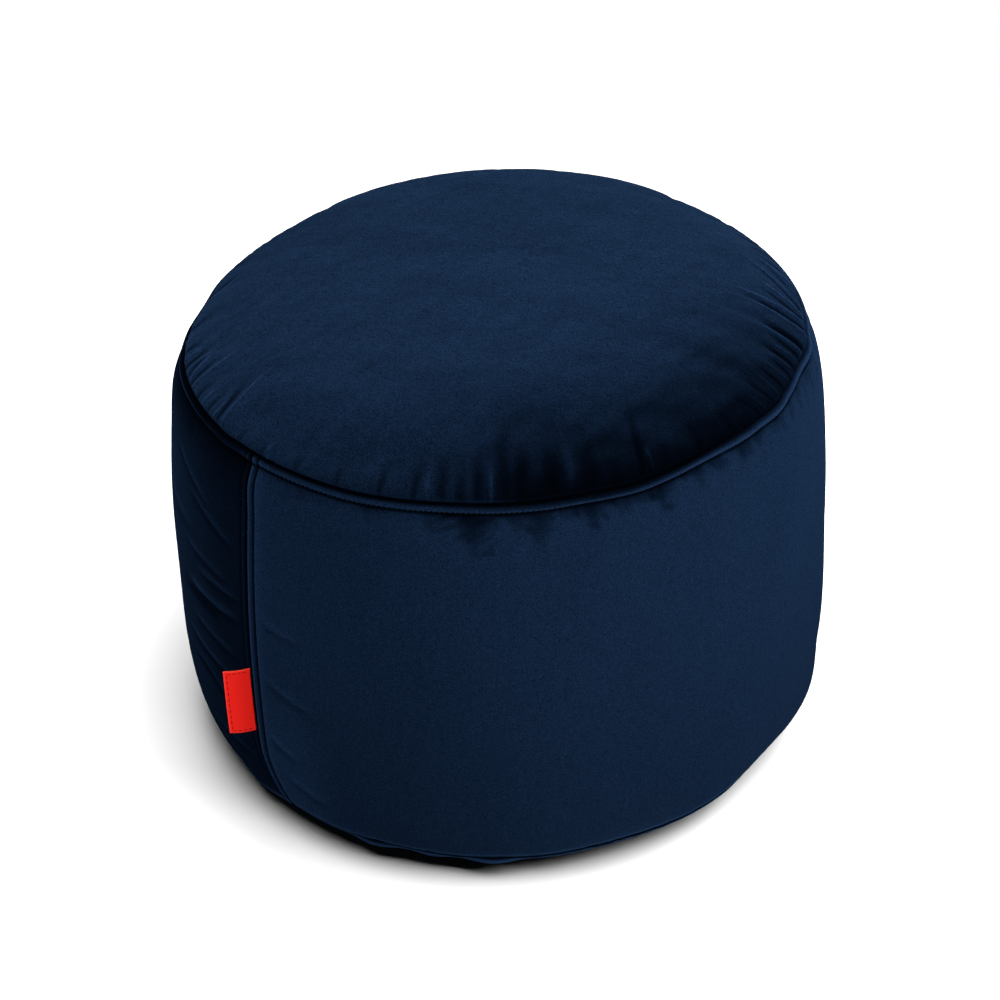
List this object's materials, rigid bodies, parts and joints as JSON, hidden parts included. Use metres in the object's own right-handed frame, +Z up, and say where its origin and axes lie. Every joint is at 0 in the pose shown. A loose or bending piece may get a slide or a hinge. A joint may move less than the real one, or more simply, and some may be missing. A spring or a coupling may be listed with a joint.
{
  "type": "bean bag footstool",
  "caption": "Round filled pouf in dark navy velvet, with a crowned top, a topstitched rib round its upper edge and a small bare tab, for resting feet or sitting.",
  "frame": {"origin": "centre of the flat resting face, at floor level under the middle of the drum", "axes": "+Z up through the crown, +X to the right and -Y towards the viewer, so the upright seam and its tab are at the front left"},
  "size_m": [0.5014, 0.5008, 0.381],
  "materials": {
    "navy_velvet": "short dense pile velvet, dark navy, dark where it faces the eye and bluer at grazing angles",
    "red_woven_tab": "tightly woven red tape, matt, topstitched in its own colour"
  },
  "bodies": {
    "root": {"top_panel": "navy_velvet", "side_panel": "navy_velvet", "base_panel": "navy_velvet", "tab": "red_woven_tab"}
  },
  "joints": []
}
